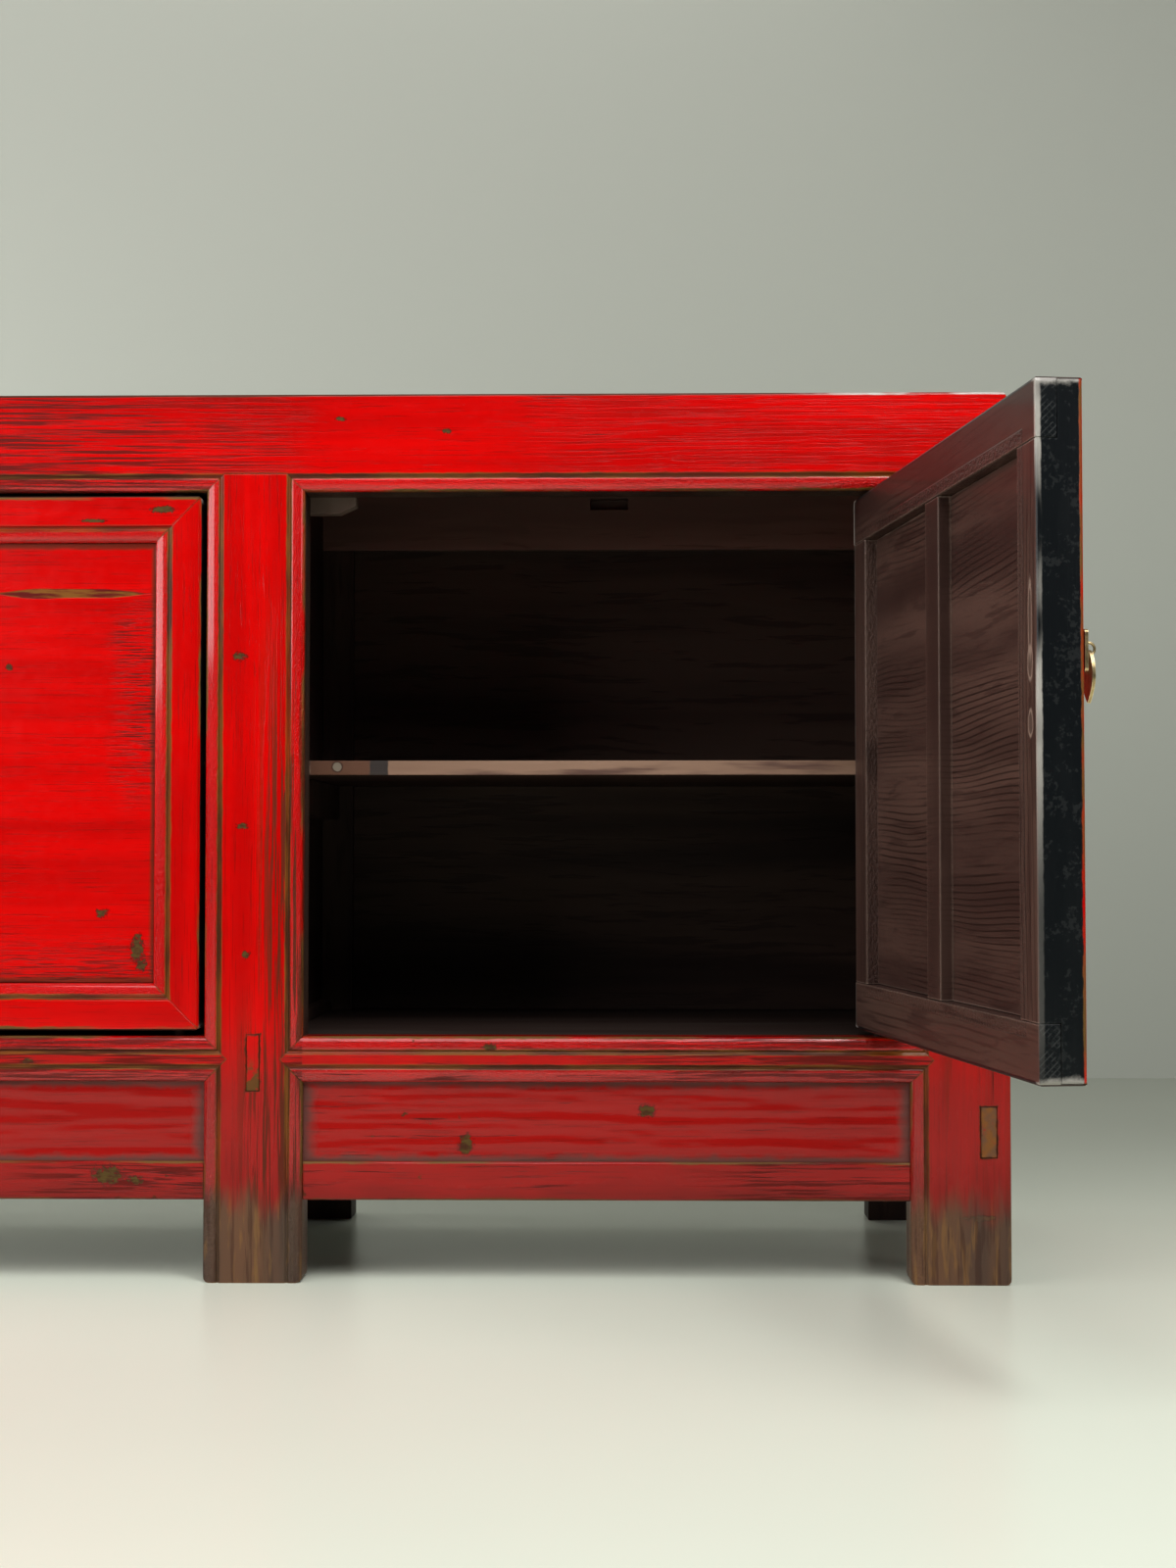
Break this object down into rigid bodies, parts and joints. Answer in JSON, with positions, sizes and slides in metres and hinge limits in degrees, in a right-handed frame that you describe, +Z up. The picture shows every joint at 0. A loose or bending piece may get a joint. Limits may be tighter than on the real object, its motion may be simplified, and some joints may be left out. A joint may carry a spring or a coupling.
{
  "type": "chinese lacquer sideboard",
  "caption": "Long low red lacquer sideboard with moulded frame, framed panel doors on wooden pivots, brass drop pulls, shelves inside and an open apron base on straight legs.",
  "frame": {"origin": "on the floor under the middle of the whole piece's box, with the right door open as pictured", "axes": "+X to the right along the front, +Y from the front to the back, +Z up"},
  "size_m": [2.1138, 0.953, 0.85],
  "materials": {
    "red_lacquer": "worn glossy red lacquer over wood",
    "dark_wood": "bare aged dark wood",
    "aged_brass": "aged brass"
  },
  "bodies": {
    "carcass": {"front_leg_left_end": "red_lacquer", "front_leg_left_middle": "red_lacquer", "front_leg_right_middle": "red_lacquer", "front_leg_right_end": "red_lacquer", "side_panel_left": "red_lacquer", "side_panel_right": "red_lacquer", "top_front_rail": "red_lacquer", "top_panel": "red_lacquer", "top_end_rail_left": "red_lacquer", "top_end_rail_right": "red_lacquer", "side_rail_left": "red_lacquer", "side_rail_right": "red_lacquer", "bottom_rail_left": "red_lacquer", "apron_panel_left": "red_lacquer", "lower_rail_left": "red_lacquer", "bottom_rail_middle": "red_lacquer", "apron_panel_middle": "red_lacquer", "lower_rail_middle": "red_lacquer", "bottom_rail_right": "red_lacquer", "apron_panel_right": "red_lacquer", "lower_rail_right": "red_lacquer", "rear_leg_left_end": "dark_wood", "rear_leg_left_middle": "dark_wood", "rear_leg_right_middle": "dark_wood", "rear_leg_right_end": "dark_wood", "top_rear_rail": "dark_wood", "rear_rail": "dark_wood", "partition_left": "dark_wood", "partition_right": "dark_wood", "floor_board_left": "dark_wood", "shelf_left": "dark_wood", "back_panel_left": "dark_wood", "floor_board_middle": "dark_wood", "shelf_middle": "dark_wood", "back_panel_middle": "dark_wood", "floor_board_right": "dark_wood", "shelf_right": "dark_wood", "back_panel_right": "dark_wood"},
    "left_door": {"left_door_hinge_stile": "red_lacquer", "left_door_pull_stile": "red_lacquer", "left_door_top_rail": "red_lacquer", "left_door_bottom_rail": "red_lacquer", "left_door_panel": "red_lacquer", "left_door_pull_plate": "aged_brass"},
    "left_pull_drop": {"left_door_pull_drop": "aged_brass"},
    "middle_door": {"middle_door_hinge_stile": "red_lacquer", "middle_door_pull_stile": "red_lacquer", "middle_door_top_rail": "red_lacquer", "middle_door_bottom_rail": "red_lacquer", "middle_door_panel": "red_lacquer", "middle_door_pull_plate": "aged_brass"},
    "middle_pull_drop": {"middle_door_pull_drop": "aged_brass"},
    "right_door": {"right_door_hinge_stile": "red_lacquer", "right_door_pull_stile": "red_lacquer", "right_door_top_rail": "red_lacquer", "right_door_bottom_rail": "red_lacquer", "right_door_panel": "red_lacquer", "right_door_pull_plate": "aged_brass"},
    "right_pull_drop": {"right_door_pull_drop": "aged_brass"}
  },
  "joints": [
    {"name": "left_door_hinge", "type": "hinge", "parent": "carcass", "child": "left_door", "pos_m": [-0.93535, 0.06654, 0.4958], "axis": [0, 0, -1], "range_deg": [0, 108]},
    {"name": "middle_door_hinge", "type": "hinge", "parent": "carcass", "child": "middle_door", "pos_m": [0.26225, 0.06654, 0.4958], "axis": [0, 0, 1], "range_deg": [0, 108]},
    {"name": "right_door_hinge", "type": "hinge", "parent": "carcass", "child": "right_door", "pos_m": [0.93535, 0.06654, 0.4958], "axis": [0, 0, 1], "range_deg": [-97.6, 10.4]},
    {"name": "left_pull_swing", "type": "hinge", "parent": "left_door", "child": "left_pull_drop", "pos_m": [-0.40385, 0.04124, 0.5555], "axis": [-1, 0, 0], "range_deg": [0, 80]},
    {"name": "middle_pull_swing", "type": "hinge", "parent": "middle_door", "child": "middle_pull_drop", "pos_m": [-0.26925, 0.04124, 0.5555], "axis": [-1, 0, 0], "range_deg": [0, 80]},
    {"name": "right_pull_swing", "type": "hinge", "parent": "right_door", "child": "right_pull_drop", "pos_m": [1.03072, -0.45694, 0.5555], "axis": [0.1323, -0.9912, 0], "range_deg": [0, 80]}
  ]
}
